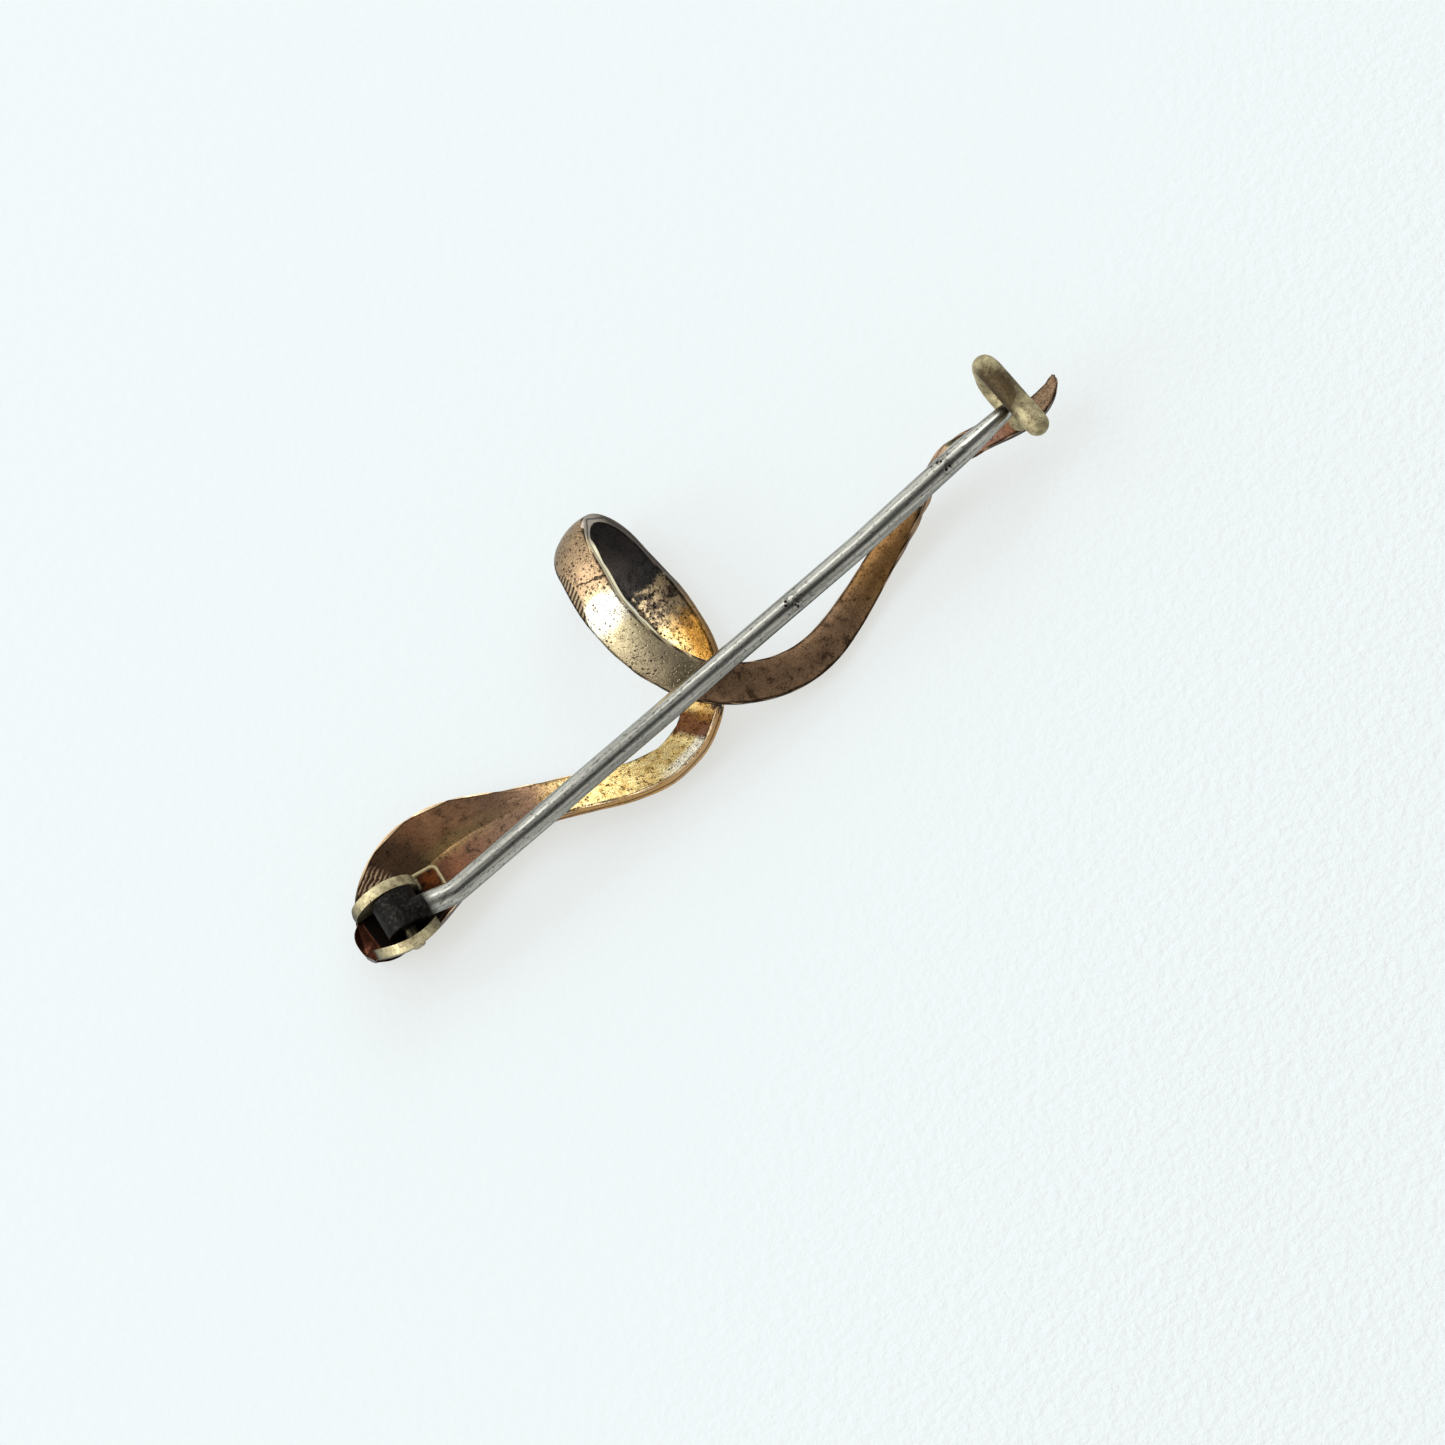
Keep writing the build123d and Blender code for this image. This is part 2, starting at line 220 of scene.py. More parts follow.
class Finish(Tree):
    """A material. Its places and lengths are in millimetres."""

    def __init__(self, name):
        self.material = bpy.data.materials.new(name)
        self.material.use_nodes = True
        super().__init__(self.material.node_tree)
        self.tree.nodes.clear()
        self.surface = self.tree.nodes.new("ShaderNodeBsdfPrincipled")
        output = self.tree.nodes.new("ShaderNodeOutputMaterial")
        self.tree.links.new(self.surface.outputs["BSDF"], output.inputs["Surface"])
        place = self.node("ShaderNodeTexCoord", {}, output="Object")
        self.place = self.node("ShaderNodeVectorMath", {"operation": "SCALE"}, place, Scale=PER_METRE)

    def measure(self, operation, first, second):
        """A vector operation that gives one number."""
        return self.node("ShaderNodeVectorMath", {"operation": operation}, first, second, output="Value")

    def grain(self, scale, detail, roughness, stretch=None):
        """Noise round 0.5, its scale in marks per millimetre."""
        where = self.place
        if stretch:
            where = self.node("ShaderNodeVectorMath", {"operation": "MULTIPLY"}, where, stretch)
        return self.node(
            "ShaderNodeTexNoise", {}, Vector=where, Scale=scale, Detail=detail, Roughness=roughness
        )

    def pits(self, scale, size, softness, where=None):
        """Round pits, 1 inside a pit."""
        cell = self.node(
            "ShaderNodeTexVoronoi", {},
            Vector=where or self.place, Scale=scale, Randomness=1.0, output="Distance",
        )
        return cell.below(size, softness)

    def near(self, place, radius, softness, edge=None):
        """1 inside a ball round a place, its edge broken up by a noise."""
        away = self.measure("DISTANCE", self.place, place)
        if edge is not None:
            away = away + (edge - 0.5) * radius
        return away.below(radius, softness)

    def along(self, direction, origin):
        """How far the surface lies along a direction from a place."""
        line = Vector(direction).normalized()
        return self.measure("DOT_PRODUCT", self.place, tuple(line)) - Vector(origin).dot(line)

    def facing(self, direction):
        """The cosine between the surface's own direction and a given one."""
        normal = self.node("ShaderNodeNewGeometry", {}, output="Normal")
        return self.measure("DOT_PRODUCT", normal, tuple(Vector(direction).normalized()))

    def attribute(self, name):
        return self.node("ShaderNodeAttribute", {"attribute_name": name}, output="Fac")

    def blend(self, factor, first, second, strength=1.0):
        """One colour, and a second one over it where the factor is 1."""
        return self.mix("MIX", factor * strength, first, second)

    def shade(self, factor, colour, share, strength=1.0):
        """A colour, and only a share of it where the factor is 1."""
        return self.mix("MULTIPLY", factor * strength, colour, grey(share))

    def relief(self, height, depth, below=None):
        """The surface's direction over dents of a depth, on top of another such direction."""
        inputs = {"Height": height, "Distance": depth * MM, "Strength": 1.0}
        if below is not None:
            inputs["Normal"] = below
        return self.node("ShaderNodeBump", {}, **inputs)

    def rounded(self, radius):
        """The surface's direction with its sharp edges rounded off."""
        return self.node("ShaderNodeBevel", {"samples": 4}, Radius=radius * MM)

    def sharp_edges(self, radius, level, softness):
        """1 along sharp edges."""
        normal = self.node("ShaderNodeNewGeometry", {}, output="Normal")
        return self.measure("DOT_PRODUCT", self.rounded(radius), normal).below(level, softness)

    def lay(self, **sockets):
        """Joins readings and values to the surface, and gives the material."""
        for name, value in sockets.items():
            self.put(self.surface.inputs[name.replace("_", " ")], value)
        return self.material


# The strip's sections in millimetres: the middle's x, y, z, the direction across
# from the left rim to the right one, and half the width
strip_sections = np.array([
    (-19.08, -2.53, 0.91, 0.385, -0.923, 0.000, 0.224), (-18.24, -2.17, 0.96, 0.384, -0.923, 0.000, 1.125),
    (-16.93, -1.63, 1.00, 0.353, -0.935, 0.000, 1.851), (-15.59, -1.17, 1.00, 0.232, -0.973, 0.000, 2.075),
    (-14.21, -0.98, 0.98, 0.039, -0.999, 0.000, 2.025), (-12.63, -1.10, 0.93, -0.152, -0.988, 0.035, 1.724),
    (-10.98, -1.49, 0.90, -0.299, -0.949, 0.105, 1.150), (-9.48, -2.08, 0.88, -0.388, -0.894, 0.225, 0.925),
    (-7.99, -2.81, 0.84, -0.416, -0.843, 0.342, 0.900), (-6.30, -3.70, 0.80, -0.347, -0.845, 0.407, 0.910),
    (-4.61, -4.26, 0.77, -0.102, -0.877, 0.469, 0.925), (-2.92, -4.15, 0.75, 0.238, -0.804, 0.545, 0.940),
    (-1.54, -3.40, 0.76, 0.509, -0.629, 0.588, 0.950), (-0.61, -2.35, 0.76, 0.658, -0.433, 0.616, 0.950),
    (-0.04, -1.15, 0.77, 0.734, -0.255, 0.629, 0.950), (0.23, 0.15, 0.79, 0.767, -0.129, 0.629, 0.950),
    (0.35, 1.50, 0.84, 0.775, -0.065, 0.629, 0.975), (0.35, 2.89, 0.93, 0.747, -0.073, 0.661, 0.990),
    (0.23, 4.30, 1.28, 0.765, -0.104, 0.636, 1.000), (-0.23, 5.19, 1.99, 0.750, -0.103, 0.654, 1.000),
    (-0.96, 5.31, 2.82, 0.706, -0.059, 0.706, 1.000), (-1.65, 4.56, 3.36, 0.761, -0.154, 0.630, 1.000),
    (-2.07, 3.30, 3.71, 0.819, -0.147, 0.554, 1.000), (-2.38, 1.84, 3.70, 0.799, -0.140, 0.585, 0.985),
    (-2.38, 0.50, 3.45, 0.838, -0.075, 0.540, 0.960), (-2.19, -0.66, 3.04, 0.880, 0.060, 0.471, 0.925),
    (-1.80, -1.71, 2.64, 0.886, 0.260, 0.383, 0.900), (-1.31, -2.60, 2.28, 0.821, 0.489, 0.295, 0.890),
    (-0.58, -3.37, 1.99, 0.691, 0.679, 0.248, 0.880), (0.31, -4.00, 1.66, 0.550, 0.803, 0.229, 0.860),
    (1.38, -4.47, 1.23, 0.375, 0.898, 0.229, 0.850), (2.76, -4.76, 0.79, 0.144, 0.957, 0.251, 0.835),
    (4.19, -4.71, 0.52, -0.082, 0.958, 0.273, 0.800), (5.68, -4.38, 0.41, -0.241, 0.935, 0.259, 0.740),
    (7.10, -3.95, 0.47, -0.308, 0.929, 0.207, 0.680), (8.41, -3.53, 0.66, -0.307, 0.946, 0.103, 0.625),
    (9.56, -3.20, 0.88, -0.292, 0.956, -0.034, 0.580), (10.60, -2.85, 1.12, -0.251, 0.939, -0.235, 0.560),
    (11.56, -2.53, 1.40, -0.058, 0.825, -0.563, 0.550), (12.40, -2.33, 1.68, 0.247, 0.241, -0.939, 0.540),
    (13.25, -2.31, 1.90, 0.132, -0.580, -0.804, 0.550), (14.13, -2.41, 2.02, -0.115, -0.921, -0.373, 0.565),
    (15.17, -2.65, 2.08, -0.246, -0.962, -0.122, 0.550), (16.20, -2.95, 2.10, -0.233, -0.972, 0.000, 0.530),
    (17.24, -3.15, 2.10, -0.045, -0.999, 0.000, 0.490), (18.16, -3.07, 2.10, 0.238, -0.971, 0.000, 0.400),
    (18.82, -2.83, 2.10, 0.541, -0.841, 0.000, 0.250), (19.12, -2.57, 2.10, 0.638, -0.770, 0.000, 0.080),
])

# A point further than this from the strip's middle sheet lies off that stretch
REACH_IN_DEPTH = 0.45
# How much a point prefers the stretch whose middle it is nearer to, at equal distances
PULL_TO_MIDDLE = 0.01


def unit_rows(rows):
    return rows / np.linalg.norm(rows, axis=1)[:, None]


def strip_places(points):
    """For each point its run along the strip, its place across, its depth from the
    back to the front and the strip's half width there, in millimetres, and the
    strip's directions across and to the front."""
    middles, across, half = strip_sections[:, :3], strip_sections[:, 3:6], strip_sections[:, 6]
    steps = middles[1:] - middles[:-1]
    lengths = np.linalg.norm(steps, axis=1)
    starts = np.concatenate([[0.0], np.cumsum(lengths)])
    best = np.full(len(points), np.inf)
    found = np.zeros((len(points), 4))
    sides = np.zeros((len(points), 3))
    fronts = np.zeros((len(points), 3))
    for i, step in enumerate(steps):
        share = (points - middles[i]) @ step / lengths[i] ** 2
        past_the_ends = np.maximum(np.abs(share - 0.5) - 0.5, 0.0) * lengths[i]
        share = np.clip(share, 0.0, 1.0)[:, None]
        side = unit_rows(across[i] + share * (across[i + 1] - across[i]))
        front = unit_rows(np.cross(step / lengths[i], side))
        away = points - middles[i] - share * step
        sideways, depth = (away * side).sum(1), (away * front).sum(1)
        half_width = half[i] + share[:, 0] * (half[i + 1] - half[i])
        off = (
            np.maximum(np.abs(sideways) - half_width, 0)
            + np.maximum(np.abs(depth) - REACH_IN_DEPTH, 0)
            + past_the_ends
            + PULL_TO_MIDDLE * np.abs(sideways)
        )
        closer = off < best
        best[closer] = off[closer]
        run = starts[i] + share[:, 0] * lengths[i]
        found[closer] = np.stack([run, sideways, depth, half_width], axis=1)[closer]
        sides[closer], fronts[closer] = side[closer], front[closer]
    return found, sides, fronts


MERGE_DISTANCE = 1e-7
SMOOTH_ANGLE = 0.5
FRONT_COSINE = 0.3


def mesh_values(collection, name, kind=float, width=1):
    """One property of a mesh's vertices, corners or faces, as an array."""
    values = np.empty(len(collection) * width, dtype=kind)
    collection.foreach_get(name, values)
    return values.reshape(-1, width) if width > 1 else values


def add_attribute(mesh, name, domain, values):
    mesh.attributes.new(name, "FLOAT", domain).data.foreach_set("value", values.astype(np.float32))


def dressed_body():
    """A merged copy of the body, which knows its places on the strip."""
    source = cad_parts["snake_body"]
    bpy.ops.object.select_all(action="DESELECT")
    source.select_set(True)
    bpy.context.view_layer.objects.active = source
    bpy.ops.object.duplicate()
    body = bpy.context.object
    body.name = "snake_strip"
    bpy.ops.object.mode_set(mode="EDIT")
    bpy.ops.mesh.select_all(action="SELECT")
    bpy.ops.mesh.remove_doubles(threshold=MERGE_DISTANCE)
    bpy.ops.object.mode_set(mode="OBJECT")
    bpy.ops.mesh.customdata_custom_splitnormals_clear()
    bpy.ops.object.shade_smooth_by_angle(angle=SMOOTH_ANGLE)

    mesh = body.data
    points = mesh_values(mesh.vertices, "co", width=3) * PER_METRE
    corners = mesh_values(mesh.loops, "vertex_index", int)
    first_points = corners[mesh_values(mesh.polygons, "loop_start", int)]
    normals = mesh_values(mesh.polygons, "normal", width=3)
    found, sides, fronts = strip_places(points)
    across, depth, half_width = found[:, 1], found[:, 2], found[:, 3]
    run = mesh.uv_layers.new(name="run")
    run.data.foreach_set("uv", found[corners][:, :2].astype(np.float32).ravel())
    add_attribute(mesh, "inset", "POINT", half_width - np.abs(across))
    add_attribute(mesh, "depth", "POINT", depth)
    add_attribute(mesh, "rim", "FACE", (normals * sides[first_points]).sum(1))
    add_attribute(mesh, "front", "FACE", (normals * fronts[first_points]).sum(1) > FRONT_COSINE)
    return body


# Stretches of the strip in millimetres from the head's tip: where each one begins
# and ends, and how softly
CREASE = (3.8, 8.6, 2.2)
NECK = (6.6, 11.2, 3.0)
GOLD = (11.0, 23.4, 2.2)
# A painted highlight on the first strand
GLEAM_HIGHLIGHT = (15.4, 17.5, 0.7)
STAIN = (17.2, 18.4, 0.3)
AMBER = (18.4, 23.0, 1.0)
MOTTLED = (22.6, 25.4, 1.2)
BLACKENED = (24.6, 29.6, 0.5)
ROSE = (29.2, 31.5, 0.8)
OUTER_FACE = (27.0, 38.6, 1.2)
# A painted highlight on the loop's outer face
OUTER_HIGHLIGHT = (33.0, 34.1, 0.5)
HATCHED = (30.7, 33.5, 0.1)
WARM_BRONZE = (47.0, 51.8, 2.0)
# Painted shade where the strip turns at the twist
TWIST_SHADE = (51.6, 54.35, 0.4)
# A painted highlight beside the twist
CREAM_HIGHLIGHT = (54.3, 55.1, 0.3)
PINK = (55.0, 57.4, 0.7)
# A painted highlight along the back's edge
LIP_HIGHLIGHT = (2.6, 19.0, 1.2)
FAR_RIM = (19.4, 30.4, 0.8)
NEAR_RIM = (30.4, 38.6, 0.6)

# Levels on the same run, each with its softness, from which something changes
TIP_ENDS = (1.6, 1.4)
# Where the painted shade at the head's tip ends
HEAD_SHADE_ENDS = (4.0, 3.4)
RIM_GILDED = (11.0, 1.6)
# Where painted shade on the far rim begins
RIM_SHADE_BEGINS = (23.5, 1.4)
RIM_GREYS = (28.4, 0.8)
OUTER_PALES = (32.9, 1.2)
OUTER_GREYS = (35.4, 1.6)
BRONZE = (38.2, 0.9)
RIM_OF_BRONZE = (38.6, 0.6)
TAIL = (57.6, 0.8)

# The crack across the loop's outer face: where it crosses the middle, and its slant
CRACK_RUN = 32.05
CRACK_SLANT = 0.26
# The hatched patch: its middle and half its length on the run, where its straight side
# lies across the strip, how far it bulges from there, and its cut lines
HATCHING_MIDDLE = 32.1
HATCHING_HALF = 1.45
HATCHING_SIDE = 1.02
HATCHING_BULGE = 0.55
HATCHING_LINES_PER_MM = 4.6
HATCHING_SLANT = 2.2
# The file marks beside the bracket: the direction across them, and how close they lie
FILED_ACROSS = (-0.45, 0.89, 0)
FILED_LINES_PER_MM = 5.5
# Where the head's crease lies, and a ridge along the rims: left of the middle and in
# front of the middle sheet
CREASE_OFFSET = 0.18
RIDGE_DEPTH = 0.08

# Places on the head, the bracket and the catch
SOOT_PLACE = (-16.2, -0.6, 1.2)
FILED_PLACE = (-17.1, -0.35, 1.1)
PLATE_BOTTOM = (0, 0, 1.36)
PLATE_TOP = (0, 0, 1.56)
CHEEKS_FOOT = (0, 0, 2.0)
BRACKET_END = (-13.4, 0, 0)
PLATE_AMBER_PLACE = (-14.95, -1.65, 1.5)
PLATE_LIT_PLACE = (-14.6, -1.3, 1.5)
CATCH_START = (15.5, 0, 0)
CATCH_FOOT = (0, 0, 2.38)
CATCH_BROWN_PLACE = (15.8, -2.3, 5.1)


class StripFinish(Finish):
    """Worn gilding over a copper-coloured metal, with pits and dark tarnish, and painted highlights and
    painted shade.
    """

    def __init__(self):
        super().__init__("worn_gilding")
        self.cloud = self.grain(0.55, 4.0, 0.6)
        self.patchy = self.grain(1.9, 5.0, 0.7)
        self.fine = self.grain(2.6, 5.0, 0.65)
        self.speck = self.grain(9.0, 3.0, 0.6)
        self.dust = self.grain(16.0, 2.0, 0.6)

        # the place on the strip: along it, also with a ragged edge, across it, in
        # from its rim and through it
        uv = self.node("ShaderNodeUVMap", {"uv_map": "run"})
        self.run = self.node("ShaderNodeSeparateXYZ", {}, uv, output="X")
        self.across = self.node("ShaderNodeSeparateXYZ", {}, uv, output="Y")
        self.ragged = self.run + self.wander(1.6)
        self.inset = self.attribute("inset")
        self.depth = self.attribute("depth")
        self.front = self.attribute("front")
        self.back = 1.0 - self.front
        self.rim = abs(self.attribute("rim")).above(0.72, 0.1)
        self.off_the_rim = 1.0 - self.rim

        # the stretches that more than one step reads
        self.soot = self.near(SOOT_PLACE, 2.05, 1.1, self.fine)
        self.gold = self.ragged.between(*GOLD) * self.back
        # The painted white highlight on the first strand
        self.gleam_highlight = self.run.between(*GLEAM_HIGHLIGHT) * self.across.above(0.42, 0.3) * self.back
        self.mottled = self.ragged.between(*MOTTLED) * self.back
        self.black = (self.run + (self.patchy - 0.5) * 2.6).between(*BLACKENED) * self.back
        self.outer = self.ragged.between(*OUTER_FACE) * self.front
        self.bronze = self.run.above(*BRONZE)
        # The painted shade at the tail's twist
        self.twist_shade = self.run.between(*TWIST_SHADE)
        self.near_rim = self.run.between(*NEAR_RIM)

    def wander(self, width):
        """A small uneven shift, as wide as given from side to side."""
        return (self.fine - 0.5) * width

    def flecked(self, light, dark, softness=0.3):
        """Two colours in fine flecks."""
        return self.blend(self.fine.above(0.5, softness), light, dark)

    def head(self):
        """The back from the tip to the neck: two facets and a crease, painted shade towards
        the tip, soot round the bracket and file marks beside it."""
        colour = self.blend(self.cloud.above(0.5, 0.4), "copper", "copper_worn")
        colour = self.blend(self.fine.above(0.52, 0.2), colour, "copper_dirty", 0.6)
        # Painted shade: the copper darker towards the head's tip
        colour = self.blend(self.run.below(*HEAD_SHADE_ENDS), colour, "head_tip_shade", 0.45)
        right_facet = self.across.above(0.05, 0.12)
        colour = self.blend(right_facet, colour, self.flecked("right_facet", "right_facet_dark"))
        crease = (self.across + CREASE_OFFSET + self.wander(0.7)).line(0.30, 0.45)
        crease = crease * self.ragged.between(*CREASE)
        colour = self.blend(crease, colour, "crease", 0.6)
        colour = self.blend(self.ragged.between(*NECK), colour, "neck", 0.85)
        colour = self.blend(self.ragged.below(*TIP_ENDS), colour, "tip", 0.9)
        colour = self.blend(self.soot, colour, "soot", 0.88)
        strokes = self.along(FILED_ACROSS, (0, 0, 0)) * FILED_LINES_PER_MM + self.wander(1.5)
        filed = strokes.ruled(0.25, 0.6, 0.2) * self.near(FILED_PLACE, 0.85, 0.4)
        return self.blend(filed, colour, "file_mark", 0.7)

    def first_strand(self, colour):
        """Gold, with a painted white highlight and a red stain, and amber on under the loop."""
        colour = self.blend(self.gold, colour, self.flecked("gold", "gold_dark", 0.25))
        # A painted highlight: the white gleam near the first strand's right rim
        colour = self.blend(self.gleam_highlight, colour, "gleam_highlight")
        stain = (self.run + self.wander(0.5)).between(*STAIN) * self.back
        colour = self.blend(stain, colour, "stain", 0.92)
        amber = self.ragged.between(*AMBER) * self.back * self.across.above(-0.1, 0.8)
        return self.blend(amber, colour, self.flecked("amber", "amber_dark"))

    def loop(self, colour):
        """The inner face is mottled, then nearly black and grey at its far end. The
        outer one is tan, then pale gold with a painted white highlight, then greyer towards the pin."""
        mottle = self.blend(self.patchy.above(0.52, 0.12), "mottled", "mottled_dark")
        colour = self.blend(self.mottled, colour, mottle)
        colour = self.blend(self.black, colour, "blackened", 0.97)
        colour = self.blend(self.ragged.between(*ROSE) * self.back, colour, "rose")
        outer = self.blend(self.ragged.above(*OUTER_PALES), "outer_tan", "outer_gold")
        outer = self.blend(self.ragged.above(*OUTER_GREYS), outer, "outer_grey", 0.85)
        # A painted highlight: a white patch on the loop's outer face
        outer = self.blend(self.run.between(*OUTER_HIGHLIGHT), outer, "outer_highlight")
        return self.blend(self.outer, colour, outer)

    def second_strand(self, colour):
        """A dull dark bronze, painted nearly black at the tail's twist as painted shade, with a painted cream
        highlight beside it.
        """
        colour = self.blend(self.bronze, colour, self.flecked("bronze", "bronze_dark"))
        colour = self.blend(self.run.between(*WARM_BRONZE), colour, "bronze_warm", 0.7)
        # Painted shade: the strip nearly black where it turns at the twist
        colour = self.blend(self.twist_shade, colour, "twist_shade", 0.9)
        # A painted highlight: a cream patch beside the twist
        colour = self.blend(self.run.between(*CREAM_HIGHLIGHT), colour, "cream_highlight", 0.9)
        colour = self.blend(self.run.between(*PINK), colour, "pink")
        return self.blend(self.run.above(*TAIL), colour, "tail")

    def holes(self, pitted):
        """Pits of two sizes in the pitted stretches."""
        where = self.node("ShaderNodeCombineXYZ", {}, self.run, self.across, 0.0)
        wide = self.pits(5.2, 0.24, 0.16, where) * self.fine.above(0.44, 0.12) * pitted
        small = self.pits(9.0, 0.22, 0.16, where) * self.patchy.above(0.5, 0.15) * pitted
        return (wide + small * 0.8).held()

    def crack(self):
        """A scratched line across the loop's outer face."""
        line = self.across * CRACK_SLANT + self.wander(0.7) + CRACK_RUN
        return (self.run - line).line(0.045, 0.04) * self.outer * self.across.above(-0.35, 0.1)

    def marks(self, pitted, holes, crack):
        """Every dark mark: pits, the crack, dirt and a fine net of lines."""
        net = (self.speck - 0.5).line(0.018, 0.02) * pitted * self.patchy.above(0.47, 0.1)
        dirt = self.fine.above(0.60, 0.10) * 0.5 + self.speck.above(0.62, 0.08) * 0.35
        dirt = dirt * (1.0 - self.outer * 0.4)
        dirt = dirt + self.dust.above(0.565, 0.05) * self.patchy.above(0.42, 0.3) * 0.65
        return (holes + crack + dirt + net * 0.6).held()

    def hatching(self):
        """Where the outer face's far rim is engraved, and the cut lines there."""
        bulge = 1.0 - ((self.run - HATCHING_MIDDLE) / HATCHING_HALF) ** 2
        patch = (bulge * HATCHING_BULGE - HATCHING_SIDE - self.across).above(0.0, 0.03)
        patch = patch * self.run.between(*HATCHED) * self.front
        cuts = self.run * HATCHING_LINES_PER_MM + self.across * HATCHING_SLANT
        return patch, patch * cuts.ruled(0.3, 0.75, 0.15)

    def rims(self, colour):
        """Painted shade in dark lines beside the rims and under them, a painted highlight along the back's
        edge, and the rims worn bright, with painted shade on the far rim and a painted highlight on the near
        one.
        """
        # Painted shade: dark lines on the faces beside the rims
        rim_shade_lines = self.inset.below(0.085, 0.07) * self.off_the_rim * self.patchy.above(0.34, 0.12)
        colour = self.shade(rim_shade_lines, colour, 0.10, 0.9)
        # A painted highlight: a thin bright line along the back's edge
        lip_highlight = self.inset.below(0.035, 0.03) * self.run.between(*LIP_HIGHLIGHT) * self.off_the_rim
        colour = self.blend(lip_highlight, colour, "lip_highlight")
        # The far rim painted darker in its middle stretch: painted shade
        far_end = self.blend(self.run.above(*RIM_GREYS), "far_rim_shade", "far_rim_end")
        far = self.blend(self.run.above(*RIM_SHADE_BEGINS), "far_rim", far_end)
        tint = self.blend(self.run.above(*RIM_GILDED), "rim_of_head", "rim_of_first_strand")
        tint = self.blend(self.run.between(*FAR_RIM), tint, far)
        # The near rim painted near white: a painted highlight on polished metal, darker towards its front
        # face
        tint = self.blend(self.near_rim, tint, "near_rim")
        tint = self.blend(self.run.above(*RIM_OF_BRONZE), tint, "rim_of_second_strand")
        ridge = (self.depth - RIDGE_DEPTH - self.wander(0.08)).line(0.045, 0.05)
        ridge = ridge * self.patchy.above(0.3, 0.15)
        tint = self.shade(ridge, tint, 0.12, 0.85)
        tint = self.blend(self.depth.above(0.15, 0.04) * self.near_rim, tint, "near_rim_deep")
        colour = self.blend(self.rim, colour, tint, 0.95)
        # Painted shade on the rims that face down
        underside_shade = (self.rim * self.facing(DOWN).above(-0.15, 0.3)).held()
        return self.shade(underside_shade, colour, 0.12)

    def soldered(self, colour):
        """The bracket and the catch, a pale yellowish metal, with painted shade low on the cheeks and on the
        plate between them and a painted highlight on the plate's edge, and where they are.
        """
        bracket = self.along(UP, PLATE_BOTTOM).above(0.03, 0.06)
        bracket = bracket * self.along(TO_THE_TAIL, BRACKET_END).below(0, 0.2)
        plate_in_shade = bracket * self.along(UP, PLATE_TOP).below(0, 0.06)
        catch = self.along(TO_THE_TAIL, CATCH_START).above(0, 0.2)
        catch = catch * self.along(UP, CATCH_FOOT).above(0, 0.06)
        pale = self.blend(self.patchy.above(0.52, 0.2), "solder", "solder_worn")
        pale = self.blend(self.speck.above(0.62, 0.05), pale, "solder_dirt", 0.6)
        pale = self.blend(self.near(CATCH_BROWN_PLACE, 1.25, 0.6, self.fine), pale, "catch_brown", 0.9)
        # The cheeks darker towards their foot: painted shade low between the parts, and tarnish
        pale = self.shade(self.along(UP, CHEEKS_FOOT).below(0.45, 0.9) * bracket, pale, 0.16, 0.9)
        amber = self.near(PLATE_AMBER_PLACE, 0.55, 0.5, self.fine) * self.fine.above(0.44, 0.2)
        # Painted shade: the plate between the cheeks painted near black, with an amber spot
        shelf = self.blend(amber, "plate_in_shade", "plate_amber", 0.8)
        # A painted highlight along the plate's lit edge
        lit_edge = self.sharp_edges(0.24, 0.99, 0.02) * self.near(PLATE_LIT_PLACE, 1.1, 0.3)
        shelf = self.blend(lit_edge, shelf, "plate_edge_highlight")
        place = (bracket + catch).held()
        return self.blend(place, colour, self.blend(plate_in_shade, pale, shelf)), place

    def finished(self):
        """The whole material."""
        pitted = (self.outer + self.gold * 0.8 + self.mottled).held()
        holes, crack = self.holes(pitted), self.crack()
        marks = self.marks(pitted, holes, crack)
        engraved, cuts = self.hatching()
        colour = self.second_strand(self.loop(self.first_strand(self.head())))
        colour = self.shade(marks * self.off_the_rim, colour, 0.16)
        colour = self.blend(engraved, colour, "engraved")
        colour = self.shade(cuts, colour, 0.14)
        colour, soldered = self.soldered(self.rims(colour))

        matt = self.bronze * 0.16 + self.black * 0.25 + marks * 0.25 + self.soot * 0.2
        polish = self.rim * self.near_rim * 0.06 + self.gleam_highlight * 0.08
        rough = 0.26 + self.cloud.above(0.5, 0.5) * 0.10 + matt - polish + soldered * 0.2
        skin = self.fine * 0.5 + self.speck * 0.25 + self.dust * 0.12
        height = 1.0 - (holes * 0.9 + crack + cuts) + skin * (1.0 - soldered * 0.9)
        return self.lay(
            Base_Color=colour,
            Metallic=1.0 - 0.35 * (self.black + self.twist_shade).held(),
            Roughness=rough.held(),
            Normal=self.relief(height, 0.025, self.rounded(0.05)),
        )


# The pin's direction and the barrel's end on it, and the rivet's direction and middle
PIN_LINE = (0.9816, -0.1908, 0)
BARREL_END = (-15.95, -2.69, 2.6)
RIVET_LINE = (0.1908, 0.9816, 0)
RIVET_MIDDLE = (-17.165, -2.452, 2.569)
# Half the way between the cheeks, where the rivet is in the dark
RIVET_DARK_HALF = 1.25
RUST_PLACES = (((3.6, -3.2, 4.15), 0.55), ((12.3, -2.9, 4.3), 0.5))


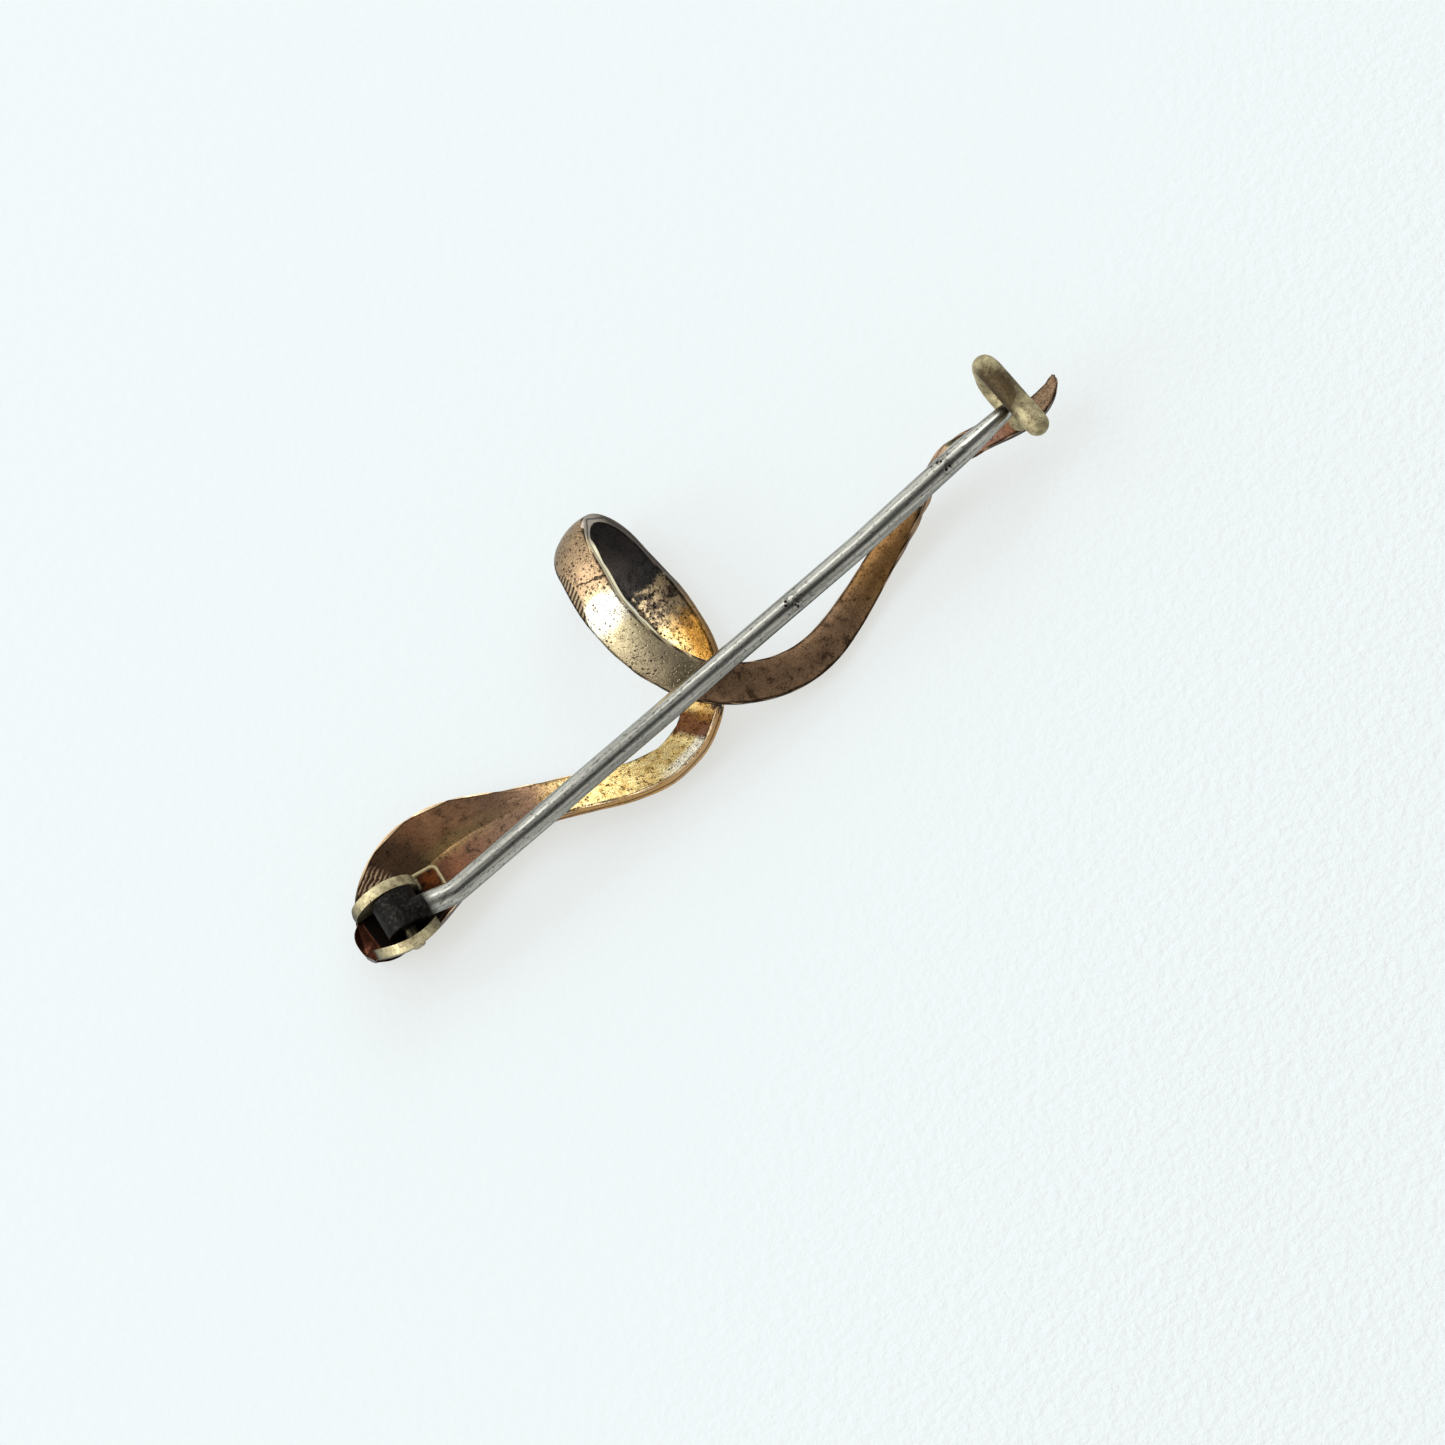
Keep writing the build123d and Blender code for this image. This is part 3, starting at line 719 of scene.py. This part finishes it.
def pin_finish():
    """Drawn steel wire, dull and streaked lengthwise, with painted shade on its sides and underside, and a
    dark soldered barrel.
    """
    f = Finish("drawn_steel")
    streak = f.grain(2.6, 5.0, 0.6, stretch=(0.05, 2.4, 2.4))
    fine = f.grain(6.0, 4.0, 0.6)
    speck = f.grain(14.0, 2.0, 0.5, stretch=(0.35, 1.0, 1.0))
    barrel = f.along(PIN_LINE, BARREL_END).below(0.0, 0.4)
    steel = 1.0 - barrel
    colour = f.blend(streak.above(0.5, 0.2), "steel", "steel_dark")
    # Painted shade on the wire's sides and underside
    colour = f.shade(f.facing(UP).between(-2.0, 0.22, 0.3) * steel, colour, 0.18, 0.8)
    colour = f.shade(speck.above(0.62, 0.05) * steel, colour, 0.22, 0.7)
    colour = f.blend(barrel, colour, f.blend(fine.above(0.55, 0.15), "barrel", "barrel_worn"))
    first, second = (f.near(place, radius, 0.4, fine) for place, radius in RUST_PLACES)
    rust = (first + second).held()
    spots = rust * f.pits(4.0, 0.30, 0.15)
    colour = f.blend((rust * fine.above(0.52, 0.1) * 0.6 + spots).held(), colour, "rust")
    height = streak * 0.1 * steel + fine * 0.5 * barrel - spots * 0.8
    return f.lay(
        Base_Color=colour,
        Metallic=1.0,
        Roughness=0.17 + streak * 0.10 + barrel * 0.28,
        Normal=f.relief(height, 0.02, f.rounded(0.05)),
    )


def rivet_finish():
    """The pale rivet, filed flat."""
    f = Finish("filed_rivet")
    fine = f.grain(5.0, 4.0, 0.6)
    colour = f.blend(fine.above(0.5, 0.2), "rivet", "rivet_dark")
    in_the_dark = f.along(RIVET_LINE, RIVET_MIDDLE).line(RIVET_DARK_HALF, 0.1)
    colour = f.shade(in_the_dark, colour, 0.10)
    return f.lay(Base_Color=colour, Metallic=1.0, Roughness=0.4, Normal=f.relief(fine, 0.01, f.rounded(0.04)))


def dress(piece, material):
    """Gives a piece its finish."""
    piece.data.materials.clear()
    piece.data.materials.append(material)


body = dressed_body()
dress(body, StripFinish().finished())
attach(body, "brooch")
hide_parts("snake_body")
dress(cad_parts["pin_stem"], pin_finish())
dress(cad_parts["hinge_rivet"], rivet_finish())

# The table: pale and a little bluish, its tooth coarser at the picture's lower right
bpy.ops.object.select_all(action="DESELECT")
bpy.ops.mesh.primitive_plane_add(size=3.0, location=at(0, 0, -0.02))
floor = bpy.context.object
floor.name = "floor"
paper = Finish("pale_table")
tooth = paper.grain(2.2, 4.0, 0.6)
coarser = paper.along((0.45, -0.89, 0), (4.0, -12.0, 0)).above(6.0, 22.0)
floor.data.materials.append(
    paper.lay(
        Base_Color=(0.155, 0.205, 0.235, 1.0),
        Roughness=0.7,
        Specular_IOR_Level=0.1,
        Emission_Color=(0.640, 0.620, 0.580, 1.0),
        Emission_Strength=1.0,
        Normal=paper.relief(tooth * (0.15 + coarser), 0.22),
    )
)


def softbox(name, place, aim, width, height, power, tint):
    """A flat studio light."""
    bpy.ops.object.select_all(action="DESELECT")
    bpy.ops.object.light_add(type="AREA", location=place, rotation=looking(place, aim))
    light = bpy.context.object
    light.name = name
    light.data.shape = "RECTANGLE"
    light.data.size = width
    light.data.size_y = height
    light.data.energy = power
    light.data.color = tint


softbox("window_light", at(-260, 180, 330), at(0, 0, 0), 0.30, 0.22, 0.60, (1.0, 0.98, 0.95))
softbox("strand_light", at(-430, 100, 236), at(-2, 0, 3), 0.14, 0.12, 0.70, (1.0, 0.99, 0.97))
softbox("far_fill", at(240, 200, 260), at(0, 0, 0), 0.22, 0.16, 0.30, (0.95, 0.98, 1.0))

# The room: bands of light and dark across the pin, which the metals mirror
ROOM_TINT = (0.97, 0.99, 1.0, 1.0)
ROOM_STRENGTH = 2.6
world = bpy.data.worlds.new("studio")
bpy.context.scene.world = world
world.use_nodes = True
room = Tree(world.node_tree)
heading = room.node("ShaderNodeTexCoord", {}, output="Generated")
sideways = room.node("ShaderNodeSeparateXYZ", {}, heading, output="Y") * 0.5 + 0.5
lengthways = room.node("ShaderNodeSeparateXYZ", {}, heading, output="X") * 0.5 + 0.5
across_pin = room.ramp(
    sideways, (0.0, 0.36), (0.10, 0.30), (0.22, 0.04), (0.41, 0.05), (0.50, 0.16), (0.60, 0.30),
    (0.71, 0.28), (0.78, 1.0), (0.85, 1.0), (0.90, 0.40), (1.0, 0.55),
)
to_the_sides = room.ramp(
    lengthways, (0.0, 0.46), (0.20, 0.38), (0.34, 0.08), (0.46, 0.0), (0.66, 0.0), (0.76, 0.14), (1.0, 0.2)
)
glow = room.mix("MULTIPLY", 1.0, room.mix("ADD", 1.0, across_pin, to_the_sides), ROOM_TINT)
background = world.node_tree.nodes["Background"]
room.put(background.inputs["Color"], glow)
room.put(background.inputs["Strength"], ROOM_STRENGTH)
